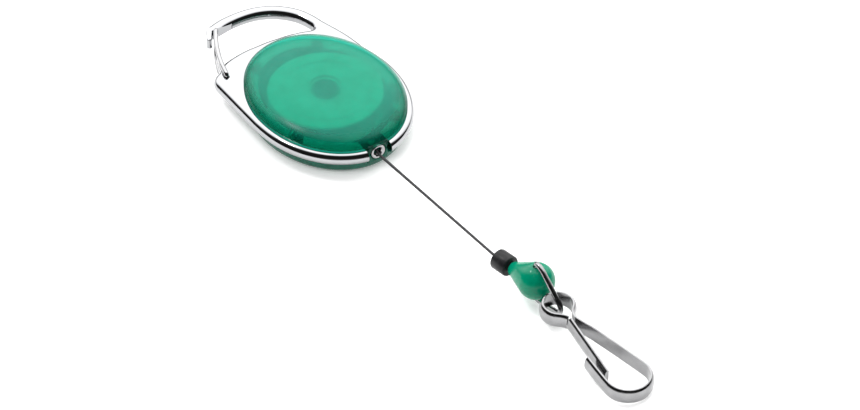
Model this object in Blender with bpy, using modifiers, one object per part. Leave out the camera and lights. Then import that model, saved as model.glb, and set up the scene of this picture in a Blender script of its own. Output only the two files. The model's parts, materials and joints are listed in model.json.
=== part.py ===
"""Retractable badge reel: a carabiner case with a cord drum, and a snap hook on the cord's end.

Lengths are in millimetres until a helper turns them into metres. The origin is on the drum's
axis, on the surface that the case lies on. +Z is up, +Y points to the carabiner's arm, and the
cord leaves the case along -Y.
"""

import math

import bmesh
import bpy
from mathutils import Matrix, Vector

MM = 0.001

# Case: two shells with the carabiner's plate between them.
CASE_X = 17.3
CASE_Y = 21.5
WALL = 1.5
PAN_TOP = 2.9
PAN_FLOOR = 1.2
DOME_RIM = 6.5
DOME_RISE = 4.1
DOME_BASE = 6.2
DOME_CEILING = 9.1
POSTS = ((8.2, 16.0), (-8.2, 16.0), (13.2, -8.9), (-13.2, -8.9))
RIB_ANGLES = (-62, -32, 32, 62)

# Plate, arm and gate.
PLATE_MID = 4.7
EDGE = 1.5
ARM_LINE = (
    (12.75, 22.9), (12.1, 25.4), (11.1, 27.8), (9.5, 30.0), (7.5, 31.85), (5.5, 33.1),
    (3.3, 34.0), (1.1, 34.5), (-1.0, 34.72), (-3.0, 34.75), (-5.6, 34.55), (-8.5, 33.9),
)
GATE_HINGE = Vector((-15.2, 17.8, 4.7))
GATE_END = (-8.5, 32.5)
GATE_WIRE = 0.55
FRONT_LEG = 6.95
BACK_LEG = 2.45

# Drum.
SHAFT = 1.6
BORE = 1.75
FLANGE = 13.3
HUB = 8.8
HUB_INSIDE = 7.8

# Cord and what hangs on it.
CORD = 0.34
EYELET_BACK = -18.6
CORD_PATH = (
    (8.83, -6.39, 4.9), (1.1, -17.6, 4.75), (0.32, -19.1, 4.7), (-0.12, -20.6, 4.62),
    (-0.3, -22.4, 4.5), (1.51, -67.83, 5.4), (2.19, -71.97, 5.5),
)
COLLAR = Vector((1.85, -69.9, 5.45))
COLLAR_YAW = 9.4
BULB = Vector((4.1, -79.5, 5.9))
BULB_AXIS = Vector((0.2467, -0.9677, 0.0523)).normalized()
BULB_R = 4.4
NECK_R = 1.64
NECK_AT = -7.3
BAIL_R = 0.65
BAIL_OVER = 5.2
BAIL_END = 9.1

# Snap hook, in its own axes: X along the hook, Y across it, Z through the strip's width.
EYE = Vector((3.7, -88.8, 4.45))
HOOK_YAW = 2.1
HOOK_PITCH = 4.35
EYE_R = 4.15
LOOP = (26.7, -0.2)
LOOP_R = 5.9
STRIP_HALF = 1.95
TONGUE_ROOT = (5.35, -1.12)
TONGUE_TIP = (23.5, -4.05)


def clear_scene():
    for thing in list(bpy.data.objects):
        bpy.data.objects.remove(thing, do_unlink=True)


def new_collection(name):
    group = bpy.data.collections.new(name)
    bpy.context.scene.collection.children.link(group)
    return group


def new_material(name, colour, metallic=0.0, roughness=0.4, transmission=0.0):
    made = bpy.data.materials.new(name)
    made.use_nodes = True
    shader = made.node_tree.nodes["Principled BSDF"]
    shader.inputs["Base Color"].default_value = (*colour, 1.0)
    shader.inputs["Metallic"].default_value = metallic
    shader.inputs["Roughness"].default_value = roughness
    shader.inputs["Transmission Weight"].default_value = transmission
    made.diffuse_color = (*colour, 1.0)
    return made


def new_object(name, data, group):
    thing = bpy.data.objects.new(name, data)
    group.objects.link(thing)
    return thing


def close_mesh(mesh):
    """Weld a mesh and turn its faces outward."""
    work = bmesh.new()
    work.from_mesh(mesh)
    bmesh.ops.remove_doubles(work, verts=work.verts, dist=0.001 * MM)
    bmesh.ops.recalc_face_normals(work, faces=work.faces)
    work.to_mesh(mesh)
    work.free()


def to_mesh(source):
    """Replace an object with the welded mesh that its curve and modifiers give."""
    graph = bpy.context.evaluated_depsgraph_get()
    mesh = bpy.data.meshes.new_from_object(source.evaluated_get(graph))
    close_mesh(mesh)
    name = source.name
    group = source.users_collection[0]
    where = source.matrix_world.copy()
    bpy.data.objects.remove(source, do_unlink=True)
    made = new_object(name, mesh, group)
    made.matrix_world = where
    return made


def box(name, low, high, group):
    low = Vector(low) * MM
    high = Vector(high) * MM
    work = bmesh.new()
    bmesh.ops.create_cube(work, size=1.0)
    bmesh.ops.scale(work, vec=high - low, verts=work.verts)
    bmesh.ops.translate(work, vec=(low + high) / 2, verts=work.verts)
    mesh = bpy.data.meshes.new(name)
    work.to_mesh(mesh)
    work.free()
    return new_object(name, mesh, group)


def rod(name, start, end, radius, group, sides=32):
    start = Vector(start) * MM
    end = Vector(end) * MM
    work = bmesh.new()
    bmesh.ops.create_cone(
        work, cap_ends=True, segments=sides, radius1=radius * MM, radius2=radius * MM,
        depth=(end - start).length,
    )
    turn = (end - start).to_track_quat("Z", "Y").to_matrix().to_4x4()
    bmesh.ops.transform(work, matrix=Matrix.Translation((start + end) / 2) @ turn, verts=work.verts)
    mesh = bpy.data.meshes.new(name)
    work.to_mesh(mesh)
    work.free()
    return new_object(name, mesh, group)


def lathe(name, profile, group, steps=64, ring=False):
    """Turn a profile of (radius, height) points about Z. A ring's profile closes on itself."""
    count = len(profile)
    edges = [(i, (i + 1) % count) for i in range(count if ring else count - 1)]
    mesh = bpy.data.meshes.new(name)
    mesh.from_pydata([(r * MM, 0, z * MM) for r, z in profile], edges, [])
    thing = new_object(name, mesh, group)
    screw = thing.modifiers.new("turn", "SCREW")
    screw.steps = steps
    screw.render_steps = steps
    screw.use_merge_vertices = True
    screw.merge_threshold = 0.01 * MM
    return to_mesh(thing)


def curve_object(name, points, group, dimensions="3D", closed=False):
    curve = bpy.data.curves.new(name, "CURVE")
    curve.dimensions = dimensions
    spline = curve.splines.new("POLY")
    spline.points.add(len(points) - 1)
    for slot, point in zip(spline.points, points):
        x, y, z = Vector(point).to_3d() * MM
        slot.co = (x, y, z, 1.0)
    spline.use_cyclic_u = closed
    return new_object(name, curve, group)


def tube(name, points, radius, group, resolution=2):
    """A round wire with closed ends along a line of points."""
    wire = curve_object(name, points, group)
    wire.data.bevel_depth = radius * MM
    wire.data.bevel_resolution = resolution
    wire.data.use_fill_caps = True
    return to_mesh(wire)


def slab(name, outline, half, edge, group, resolution=3):
    """A flat outline made solid, with its rim rounded outward by edge."""
    plate = curve_object(name, outline, group, "2D", True)
    plate.data.fill_mode = "BOTH"
    plate.data.extrude = (half - edge) * MM
    plate.data.bevel_depth = edge * MM
    plate.data.bevel_resolution = resolution
    return to_mesh(plate)


def arc(centre, radius, start, end, steps):
    """Points on a circle, angles in degrees."""
    angles = [math.radians(start + (end - start) * i / steps) for i in range(steps + 1)]
    return [(centre[0] + radius * math.cos(a), centre[1] + radius * math.sin(a)) for a in angles]


def smooth(points, steps):
    """A Catmull-Rom line through the points."""
    points = [Vector(p) for p in points]
    padded = [points[0] * 2 - points[1], *points, points[-1] * 2 - points[-2]]
    line = []
    for a, b, c, d in zip(padded, padded[1:], padded[2:], padded[3:]):
        for i in range(steps):
            t = i / steps
            line.append(
                0.5 * (2 * b + (c - a) * t + (2 * a - 5 * b + 4 * c - d) * t**2
                       + (3 * b - a - 3 * c + d) * t**3)
            )
    return [*line, points[-1]]


def offset(line, distance):
    """Move a flat line to its left."""
    moved = []
    for i, point in enumerate(line):
        along = (line[min(i + 1, len(line) - 1)] - line[max(i - 1, 0)]).normalized()
        moved.append((point.x - along.y * distance, point.y + along.x * distance))
    return moved


def rounded(points, radius, steps=4):
    """Round the inner corners of a line."""
    points = [Vector(p) for p in points]
    line = [points[0]]
    for before, corner, after in zip(points, points[1:], points[2:]):
        back = (before - corner).normalized()
        ahead = (after - corner).normalized()
        half = back.angle(ahead) / 2
        middle = corner + (back + ahead).normalized() * radius / math.sin(half)
        start = corner + back * radius / math.tan(half) - middle
        end = corner + ahead * radius / math.tan(half) - middle
        for i in range(steps + 1):
            spoke = start.lerp(end, i / steps).normalized() * radius
            line.append(middle + spoke)
    return [*line, points[-1]]


def resample(line, spacing):
    """Even steps along a line, no longer than the spacing."""
    line = [Vector(p) for p in line]
    lengths = [(b - a).length for a, b in zip(line, line[1:])]
    count = math.ceil(sum(lengths) / spacing)
    step = sum(lengths) / count
    points = [line[0]]
    run = 0.0
    for a, b, length in zip(line, line[1:], lengths):
        while len(points) < count and step * len(points) <= run + length:
            points.append(a.lerp(b, (step * len(points) - run) / length))
        run += length
    return [*points, line[-1]]


def combine(target, tool, operation="DIFFERENCE"):
    tool.hide_render = True
    tool.display_type = "WIRE"
    step = target.modifiers.new(tool.name, "BOOLEAN")
    step.operation = operation
    step.solver = "EXACT"
    step.object = tool


def finish(thing, look, angle=35.0):
    thing.data.materials.clear()
    thing.data.materials.append(look)
    thing.data.shade_smooth()
    thing.data.set_sharp_from_angle(angle=math.radians(angle))


def squash_to_case(thing):
    thing.data.transform(Matrix.Diagonal((CASE_X / CASE_Y, 1, 1, 1)))


def frame_at(origin, along):
    """A matrix that puts local Z on a direction."""
    turn = Vector(along).to_track_quat("Z", "Y").to_matrix().to_4x4()
    return Matrix.Translation(Vector(origin) * MM) @ turn


def dome_profile(reach, base, rise, steps=14):
    """A flattened dome from its top to its rim."""
    points = []
    for i in range(steps):
        r = reach * math.sin(math.pi / 2 * i / steps)
        points.append((r, base + rise * math.sqrt(1 - (r / reach) ** 4)))
    return points


def make_top_shell(parts, tools):
    outside = dome_profile(CASE_Y, DOME_BASE, DOME_RISE, 12)
    inside = dome_profile(CASE_Y - WALL, DOME_RIM, DOME_CEILING - DOME_RIM, 7)
    rim = [(CASE_Y - 0.02, DOME_RIM + 0.3), (CASE_Y - 0.15, DOME_RIM), (CASE_Y - WALL, DOME_RIM)]
    shell = lathe("top_shell", [*outside, *rim, *reversed(inside)], parts, 64)
    squash_to_case(shell)
    core_profile = dome_profile(CASE_Y - 0.6, DOME_RIM, DOME_CEILING - DOME_RIM + 0.5)
    core = lathe("rib_limit", [*core_profile, (CASE_Y - 0.6, DOME_RIM), (0, DOME_RIM)], tools, 64)
    squash_to_case(core)
    for number, angle in enumerate(RIB_ANGLES):
        rib = box(f"rib_{number}", (-0.5, 14.2, 6.6), (0.5, 22.0, 9.5), tools)
        rib.data.transform(Matrix.Rotation(math.radians(180 + angle), 4, "Z"))
        combine(rib, core, "INTERSECT")
        combine(shell, rib, "UNION")
    for number, (x, y) in enumerate(POSTS):
        seat = rod(f"seat_{number}", (x, y, 6.6), (x, y, 7.8), 1.0, tools)
        peg = rod(f"peg_{number}", (x, y, 4.0), (x, y, 7.2), 0.42, tools, 20)
        combine(shell, seat, "UNION")
        combine(shell, peg, "UNION")
    ring = lathe("head_ring", [(2.8, 8.35), (3.6, 8.35), (3.6, 9.4), (2.8, 9.4)], tools, 48, True)
    combine(shell, ring, "UNION")
    make_spout(shell, "upper", 4.85, 6.95, tools)
    return shell


def make_bottom_shell(parts, tools):
    outside = [(0, 0), (CASE_Y - 1.9, 0)]
    outside += [(CASE_Y - 1.9 + 1.5 * math.sin(a), 1.5 - 1.5 * math.cos(a))
                for a in (0.4, 0.8, 1.2, math.pi / 2)]
    outside += [(CASE_Y, PAN_TOP - 0.15), (CASE_Y - 0.15, PAN_TOP)]
    inside = [(CASE_Y - WALL, PAN_TOP), (CASE_Y - WALL - 0.1, 1.7), (CASE_Y - WALL - 0.6, PAN_FLOOR)]
    boss = [(3.2, PAN_FLOOR), (3.2, 1.4), (1.9, 1.4), (1.9, PAN_FLOOR), (0, PAN_FLOOR)]
    shell = lathe("bottom_shell", [*outside, *inside, *boss], parts, 64)
    squash_to_case(shell)
    for number, (x, y) in enumerate(POSTS):
        post = rod(f"post_{number}", (x, y, 0.8), (x, y, 6.3), 1.0, tools)
        bore = rod(f"post_bore_{number}", (x, y, 2.0), (x, y, 7.0), 0.55, tools, 20)
        combine(shell, post, "UNION")
        combine(shell, bore)
    make_spout(shell, "lower", 2.0, 4.55, tools)
    return shell


def make_spout(shell, side, low, high, tools):
    """One half of the spout, joined to its shell and cut to hold the eyelet."""
    half_width = 2.7
    front = -21.65
    block = box(f"{side}_spout", (-half_width, front, low), (half_width, -18.4, high), tools)
    bevel = block.modifiers.new("corners", "BEVEL")
    bevel.width = 0.35 * MM
    bevel.segments = 3
    channel = rod(f"{side}_channel", (0, -17.0, PLATE_MID), (0, -24.0, PLATE_MID), 1.6, tools)
    mouth = rod(f"{side}_mouth", (0, -20.8, PLATE_MID), (0, -24.0, PLATE_MID), 2.1, tools)
    combine(shell, block, "UNION")
    combine(shell, channel)
    combine(shell, mouth)


def plate_outline():
    """The flat part of the plate's top, counterclockwise. The rounded edge lies outside it."""
    def on_case(start, end, steps):
        return [(CASE_X * x, CASE_Y * y) for x, y in arc((0, 0), 1.0, start, end, steps)]

    arm = smooth(ARM_LINE, 4)
    right_side = smooth(((16.04, 8.05), (15.75, 9.6), (15.3, 13.1), (14.6, 16.7), (12.95, 22.4)), 3)
    outer = offset(arm, -0.15)
    inner = offset(arm, 0.15)
    tip_angle = math.degrees(math.atan2(*reversed(arm[-1] - arm[-2])))
    tip = arc(arm[-1], 0.15, tip_angle - 90, tip_angle + 90, 6)
    corner = arc((10.3, 22.3), 2.3, 0, -108, 7)
    lip = smooth(
        ((9.59, 20.11), (6.0, 21.3), (0, 22.2), (-3.1, 22.3), (-6.5, 22.35), (-10.3, 21.8),
         (-12.9, 20.9), (-15.05, 19.16)), 3,
    )
    shoulder = arc((-14.6, 16.6), 2.6, 110, 180, 6)
    left_side = [(-17.25, 12.0), (-17.35, 6.0), (-17.4, 1.0), (-17.3, -1.2)]
    return [
        *on_case(270, 382, 28)[:-1], *right_side, *outer[:-1], *tip, *reversed(inner[:-1]),
        *corner[:-1], *lip[:-1], *shoulder, *left_side, *on_case(189, 270, 22)[:-1],
    ]


def make_plate(parts, tools):
    plate = slab("carabiner_frame", plate_outline(), EDGE, EDGE, parts, 2)
    plate.location.z = PLATE_MID * MM
    hole = lathe("plate_hole", [(0, 1), (18.0, 1), (18.0, 8), (0, 8)], tools, 96)
    hole.data.transform(Matrix.Diagonal((14.0 / 18.0, 1, 1, 1)))
    combine(plate, hole)
    for number, (x, y) in enumerate(POSTS):
        across = math.atan2(y, x)
        notch = rod(f"notch_{number}", (x, y, 1), (x, y, 8), 1.3, tools)
        slot = box(f"notch_way_{number}", (-3.5, -1.3, 1), (0, 1.3, 8), tools)
        slot.data.transform(
            Matrix.Translation((x * MM, y * MM, 0)) @ Matrix.Rotation(across, 4, "Z")
        )
        combine(slot, notch, "UNION")
        combine(plate, slot)
    combine(plate, box("spout_gap", (-3.1, -25, 1), (3.1, -14, 8), tools))
    combine(plate, box("gate_rest", (-9.35, 30.0, 1), (-3.6, 33.3, 8), tools))
    x, y, _ = GATE_HINGE
    combine(plate, rod("foot_hole_top", (x, y, 5.0), (x, y, 8), 0.7, tools))
    combine(plate, rod("foot_hole_bottom", (x, y, 1), (x, y, 4.4), 0.7, tools))
    lean = math.degrees(math.atan2(31.4 - 34.2, -11.0 + 9.2))
    outline = [
        *arc((-11.0, 31.4), 0.35, lean - 90, lean + 90, 8),
        *arc((-9.2, 34.2), 0.35, lean + 90, lean + 270, 8),
    ]
    lip = slab("nose_lip", outline, 1.4, 0.3, tools, 2)
    lip.location.z = PLATE_MID * MM
    combine(plate, lip, "UNION")
    return plate


def make_gate(parts):
    hinge = GATE_HINGE
    end = Vector((*GATE_END, hinge.z))
    along = (end - hinge).normalized()
    left = Vector((-along.y, along.x, 0))
    legs = []
    for fraction in (0.0, 0.2, 0.4, 0.6, 0.8, 1.0):
        bow = 0.8 * 4 * fraction * (1 - fraction)
        legs.append((end - hinge) * fraction + left * bow)
    front = [leg + Vector((0, 0, FRONT_LEG - hinge.z)) for leg in legs]
    back = [leg + Vector((0, 0, BACK_LEG - hinge.z)) for leg in reversed(legs)]
    path = [(0, 0, 0.5), *front, *back, (0, 0, -0.5)]
    wire = tube("gate_wire", rounded(path, 0.75), GATE_WIRE, parts)
    wire.location = hinge * MM
    return wire


def make_drive(parts, tools, looks):
    """Spindle, washers, drum, cover, spring and the cord that is wound up."""
    spindle = lathe(
        "spindle",
        [(0, 8.85), (2.3, 8.85), (2.55, 8.7), (2.55, 8.3), (SHAFT, 8.3), (SHAFT, 1.4), (0, 1.4)],
        parts, 40,
    )
    combine(spindle, box("spring_slot", (-2.5, -0.25, 2.8), (2.5, 0.25, 6.4), tools))
    finish(spindle, looks["steel"])
    for name, low in (("lower_washer", 1.5), ("upper_washer", 7.85)):
        washer = lathe(
            name, [(BORE, low), (3.2, low), (3.2, low + 0.3), (BORE, low + 0.3)], parts, 32, True,
        )
        finish(washer, looks["steel"])
    drum = lathe(
        "drum",
        [(BORE, 1.95), (FLANGE - 0.2, 1.95), (FLANGE, 2.15), (FLANGE, 2.5), (FLANGE - 0.2, 2.7),
         (HUB, 2.7), (HUB, 6.7), (HUB_INSIDE, 6.7), (HUB_INSIDE, 2.7), (BORE, 2.7)],
        parts, 48, True,
    )
    combine(drum, rod("cord_hole", (-7.0, 0, 4.8), (-9.6, 0, 4.8), 0.45, tools, 20))
    finish(drum, looks["drum"])
    cover = lathe(
        "drum_cover",
        [(BORE, 6.9), (7.0, 6.9), (7.0, 6.3), (7.65, 6.3), (7.65, 6.9), (FLANGE - 0.2, 6.9),
         (FLANGE, 7.1), (FLANGE, 7.5), (FLANGE - 0.2, 7.7), (10.6, 7.7), (10.4, 7.95), (9.9, 7.95),
         (9.7, 7.7), (BORE, 7.7)],
        parts, 48, True,
    )
    finish(cover, looks["drum"])
    coil = [(8.95, 6.6), (8.95, 3.0)]
    for turn in range(5):
        middle = 3.36 + 0.72 * turn
        coil += [(10.06 + CORD * math.cos(a), middle + CORD * math.sin(a))
                 for a in (-1.1, -0.4, 0.4, 1.1)]
    wound = lathe("wound_cord", coil, parts, 40, True)
    finish(wound, looks["cord"], 80)
    knot = lathe(
        "cord_knot",
        [(0, -0.5), (0.34, -0.42), (0.52, -0.15), (0.52, 0.15), (0.3, 0.42), (0.3, 1.6), (0, 1.6)],
        parts, 20,
    )
    knot.matrix_world = frame_at((-7.15, 0, 4.8), (-1, 0, 0))
    finish(knot, looks["cord"], 80)
    turns = 8.25
    path = [(-0.9, 0), (1.65, 0), (2.0, 0.14), (2.16, 0.42)]
    steps = int(turns * 15)
    for i in range(1, steps + 1):
        angle = math.radians(11 + 24 * i)
        r = 2.2 + 4.05 * i / steps
        path.append((r * math.cos(angle), r * math.sin(angle)))
    spring = curve_object("power_spring", path, parts, "2D")
    spring.data.fill_mode = "NONE"
    spring.data.extrude = 1.6 * MM
    spring.location.z = 4.6 * MM
    spring = to_mesh(spring)
    thicken = spring.modifiers.new("strip", "SOLIDIFY")
    thicken.thickness = 0.16 * MM
    thicken.offset = 0
    finish(spring, looks["steel"])


def make_eyelet(parts):
    eyelet = lathe(
        "exit_eyelet",
        [(1.3, 0), (1.45, 0), (1.45, 2.45), (1.8, 2.45), (1.9, 2.6), (1.9, 2.95), (1.75, 3.15),
         (1.5, 3.2), (1.15, 3.0), (0.85, 2.5), (0.8, 2.1), (0.8, 1.0), (1.0, 0.4)],
        parts, 32, True,
    )
    eyelet.matrix_world = frame_at((0, EYELET_BACK, PLATE_MID), (0, -1, 0))
    return eyelet


def make_cord(parts):
    neck = BULB + BULB_AXIS * NECK_AT
    inner_end = BULB - BULB_AXIS
    case_part = smooth([Vector(p) for p in CORD_PATH[:5]], 4)
    path = [*case_part, *[Vector(p) for p in CORD_PATH[5:]], neck, inner_end]
    return tube("cord", resample(path, 1.9), CORD, parts)


def make_collar(parts):
    half = 2.1
    collar = lathe(
        "stop_collar",
        [(0.7, -half), (2.15, -half), (2.4, -half + 0.1), (2.5, -half + 0.35), (2.5, half - 0.35),
         (2.4, half - 0.1), (2.15, half), (0.7, half)],
        parts, 48, True,
    )
    yaw = math.radians(COLLAR_YAW)
    collar.matrix_world = frame_at(COLLAR, (math.sin(yaw), -math.cos(yaw), 0.02))
    return collar


def make_bulb(parts, tools):
    """Pear-shaped swivel with a bore for the cord and a chamber for the ferrule."""
    reach = math.hypot(NECK_R, NECK_AT)
    touch = math.atan2(NECK_R, NECK_AT) - math.acos(BULB_R / reach)
    sphere = [(BULB_R * math.sin(touch * (1 - i / 14)), BULB_R * math.cos(touch * (1 - i / 14)))
              for i in range(14)]
    inside = [(0, 0.4), (1.6, 0.4), (1.6, -2.4), (0.6, -2.4), (0.6, NECK_AT)]
    neck = [(NECK_R - 0.2, NECK_AT), (NECK_R, NECK_AT + 0.2)]
    bulb = lathe("swivel_bulb", [*inside, *neck, *sphere, (0, BULB_R)], parts, 40)
    bulb.matrix_world = frame_at(BULB, BULB_AXIS)
    for side, name in ((1, "pivot_top"), (-1, "pivot_bottom")):
        start = BULB + Vector((0, 0, side * (BULB_R - 1.5)))
        end = BULB + Vector((0, 0, side * (BULB_R + 1.5)))
        combine(bulb, rod(name, start, end, 0.8, tools))
    return bulb


def make_ferrule(parts):
    ferrule = lathe(
        "end_ferrule",
        [(0, 1.6), (0.45, 1.6), (0.45, 0), (0.95, 0), (1.1, 0.15), (1.1, 2.05), (0.95, 2.2), (0, 2.2)],
        parts, 28,
    )
    ferrule.matrix_world = frame_at(BULB - BULB_AXIS * 2.2, BULB_AXIS)
    return ferrule


def make_bail(parts):
    """A round wire that runs over the bulb, out to a narrow bend and back under the bulb."""
    def leg(side, end_height):
        end = Vector((BAIL_END, end_height))
        leave = math.atan2(end.y, end.x) + side * math.acos(BAIL_OVER / end.length)
        leave = math.degrees(leave)
        over = arc((0, 0), BAIL_OVER, side * 78, leave, 4) if abs(leave) < 78 else []
        return [(0, side * 3.25), (0, side * 4.7), (0.16, side * 5.07), *over, tuple(end)]

    top = leg(1, -0.1)
    bottom = leg(-1, -3.1)
    bend = [(9.62, -0.75), (9.8, -1.6), (9.62, -2.45)]
    line = [(0, -u, w) for u, w in [*top, *bend, *reversed(bottom)]]
    bail = tube("bail", line, BAIL_R, parts, 3)
    bail.location = BULB * MM
    return bail


def hook_matrix():
    yaw = math.radians(HOOK_YAW)
    pitch = math.radians(HOOK_PITCH)
    along = Vector((math.sin(yaw) * math.cos(pitch), -math.cos(yaw) * math.cos(pitch), -math.sin(pitch)))
    across = Vector((math.cos(yaw), math.sin(yaw), 0))
    axes = Matrix((along, across, along.cross(across))).transposed().to_4x4()
    return Matrix.Translation(EYE * MM) @ axes


def strip(name, path, inner_side, parts, tools):
    """Half-oval metal strip on edge, its flat face inside and its round face outside."""
    section = [(0.825, -STRIP_HALF), (0.475, -STRIP_HALF)]
    for height in (-0.85, -0.6, -0.3, 0.0, 0.3, 0.6, 0.85):
        section.append((0.475 - 0.65 * math.sqrt(1 - height**2), STRIP_HALF * height))
    section += [(0.475, STRIP_HALF), (0.825, STRIP_HALF)]
    section = [(inner_side * x, y) for x, y in section]
    profile = curve_object(f"{name}_section", section, tools, "2D", True)
    profile.hide_render = True
    ribbon = curve_object(name, path, parts)
    ribbon.data.twist_mode = "Z_UP"
    ribbon.data.bevel_mode = "OBJECT"
    ribbon.data.bevel_object = profile
    ribbon.data.use_fill_caps = True
    made = to_mesh(ribbon)
    bpy.data.objects.remove(profile, do_unlink=True)
    made.matrix_world = hook_matrix()
    return made


def make_hook(parts, tools):
    eye = arc((0, 0), EYE_R, -42, -318, 30)
    leg_angle = 100.5
    far = arc(LOOP, LOOP_R, leg_angle, -95, 22)
    path = [
        (5.0, -1.15), (4.35, -1.5), (3.7, -2.1), *eye, (3.75, 2.1), (4.45, 1.55), (5.2, 1.32),
        (6.1, 1.35), (7.1, 1.6), (8.4, 2.0), (10.1, 2.5), (17.7, 4.1), *far, (25.0, -6.01),
        (21.4, -5.67), (17.5, -5.25),
    ]
    hook = strip("hook_strip", path, 1, parts, tools)
    tongue = strip("hook_tongue", [TONGUE_ROOT, TONGUE_TIP], -1, parts, tools)
    root = Vector((*TONGUE_ROOT, 0)) * MM
    tongue.data.transform(Matrix.Translation(-root))
    tongue.matrix_world = hook_matrix() @ Matrix.Translation(root)
    return hook, tongue


def main():
    clear_scene()
    parts = new_collection("badge_reel")
    tools = new_collection("cutters")
    looks = {
        "shell": new_material("translucent_shell", (0.0, 0.42, 0.24), 0.0, 0.2, 0.6),
        "chrome": new_material("chrome", (0.85, 0.86, 0.87), 1.0, 0.08),
        "steel": new_material("steel", (0.45, 0.43, 0.40), 1.0, 0.3),
        "drum": new_material("drum_plastic", (0.75, 0.78, 0.75), 0.0, 0.5),
        "cord": new_material("black_cord", (0.02, 0.02, 0.02), 0.0, 0.8),
        "black": new_material("black_plastic", (0.015, 0.015, 0.015), 0.0, 0.3),
        "brass": new_material("ferrule_brass", (0.7, 0.55, 0.25), 1.0, 0.3),
    }
    finish(make_top_shell(parts, tools), looks["shell"])
    finish(make_bottom_shell(parts, tools), looks["shell"])
    finish(make_plate(parts, tools), looks["chrome"])
    finish(make_gate(parts), looks["chrome"], 80)
    make_drive(parts, tools, looks)
    finish(make_eyelet(parts), looks["chrome"], 50)
    finish(make_cord(parts), looks["cord"], 80)
    finish(make_collar(parts), looks["black"])
    finish(make_bulb(parts, tools), looks["shell"])
    finish(make_ferrule(parts), looks["brass"])
    finish(make_bail(parts), looks["chrome"], 80)
    for piece in make_hook(parts, tools):
        finish(piece, looks["chrome"], 40)


main()
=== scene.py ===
"""Looks of the retractable badge reel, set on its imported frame.

Lengths are in millimetres until a helper turns them into metres. Each visible piece is made
again here with finer facets and stands for the node of the same name.
"""

import json
import math

import bmesh
import bpy
from mathutils import Matrix, Vector

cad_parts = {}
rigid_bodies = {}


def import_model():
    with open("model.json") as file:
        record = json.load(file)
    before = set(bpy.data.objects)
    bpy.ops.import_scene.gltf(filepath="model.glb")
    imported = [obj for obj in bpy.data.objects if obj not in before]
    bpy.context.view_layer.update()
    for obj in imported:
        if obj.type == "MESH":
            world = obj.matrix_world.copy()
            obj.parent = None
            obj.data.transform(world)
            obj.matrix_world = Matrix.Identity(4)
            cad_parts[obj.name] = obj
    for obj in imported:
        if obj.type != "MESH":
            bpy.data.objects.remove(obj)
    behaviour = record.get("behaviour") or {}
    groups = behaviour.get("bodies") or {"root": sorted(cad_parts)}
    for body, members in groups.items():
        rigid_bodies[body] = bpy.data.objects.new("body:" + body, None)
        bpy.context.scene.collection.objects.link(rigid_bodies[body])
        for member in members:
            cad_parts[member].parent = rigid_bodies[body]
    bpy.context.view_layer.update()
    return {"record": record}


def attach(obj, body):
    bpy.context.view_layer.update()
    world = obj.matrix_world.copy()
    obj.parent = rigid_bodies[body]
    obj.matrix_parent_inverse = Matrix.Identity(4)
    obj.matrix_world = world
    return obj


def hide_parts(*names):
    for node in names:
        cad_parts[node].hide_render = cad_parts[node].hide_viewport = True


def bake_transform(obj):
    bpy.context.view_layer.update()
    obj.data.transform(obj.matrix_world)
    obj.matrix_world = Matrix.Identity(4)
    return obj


MM = 0.001

# Case: two shells with the carabiner's plate between them.
CASE_X = 17.3
CASE_Y = 21.5
WALL = 1.5
PAN_TOP = 2.9
PAN_FLOOR = 1.2
PAN_INSET = 1.9
PAN_CURVE = 1.5
DOME_RIM = 6.5
DOME_RISE = 4.1
DOME_BASE = 6.2
DOME_CEILING = 9.1
DOME_FOOT = 6.9
POSTS = ((8.2, 16.0), (-8.2, 16.0), (13.2, -8.9), (-13.2, -8.9))
RIB_ANGLES = (-62, -32, 32, 62)

# Plate, arm and gate.
PLATE_MID = 4.7
EDGE = 1.5
ARM_LINE = (
    (12.75, 22.9), (12.1, 25.4), (11.1, 27.8), (9.5, 30.0), (7.5, 31.85), (5.5, 33.1),
    (3.3, 34.0), (1.1, 34.5), (-1.0, 34.72), (-3.0, 34.75), (-5.6, 34.55), (-8.5, 33.9),
)
LIP_LOW = (-11.0, 31.4)
LIP_HIGH = (-9.2, 34.2)
LIP_EDGE = 0.35
GATE_HINGE = Vector((-15.2, 17.8, 4.7))
GATE_END = (-8.5, 32.5)
GATE_WIRE = 0.55
GATE_BOW = 0.8
FRONT_LEG = 6.95
BACK_LEG = 2.45

# Drum.
SHAFT = 1.6
BORE = 1.75
FLANGE = 13.3
HUB = 8.8
HUB_INSIDE = 7.8

# Cord and what hangs on it.
CORD = 0.34
EYELET_BACK = -18.6
CORD_PATH = (
    (8.83, -6.39, 4.9), (1.1, -17.6, 4.75), (0.32, -19.1, 4.7), (-0.12, -20.6, 4.62),
    (-0.3, -22.4, 4.5), (1.51, -67.83, 5.4), (2.19, -71.97, 5.5),
)
COLLAR = Vector((1.85, -69.9, 5.45))
COLLAR_YAW = 9.4
COLLAR_RISE = 0.02
BULB = Vector((4.1, -79.5, 5.9))
BULB_AXIS = Vector((0.2467, -0.9677, 0.0523)).normalized()
BULB_R = 4.4
NECK_R = 1.64
NECK_AT = -7.3
BAIL_R = 0.65
BAIL_OVER = 5.2
BAIL_END = 9.1

# Snap hook, in its own axes: X along the hook, Y across it, Z through the strip's width.
EYE = Vector((3.7, -88.8, 4.45))
HOOK_YAW = 2.1
HOOK_PITCH = 4.35
EYE_R = 4.15
LOOP = (26.7, -0.2)
LOOP_R = 5.9
STRIP_HALF = 1.95
STRIP_FLAT = 0.825
STRIP_EDGE = 0.475
STRIP_BULGE = 0.65
TONGUE_ROOT = (5.35, -1.12)
TONGUE_TIP = (23.5, -4.05)

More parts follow.
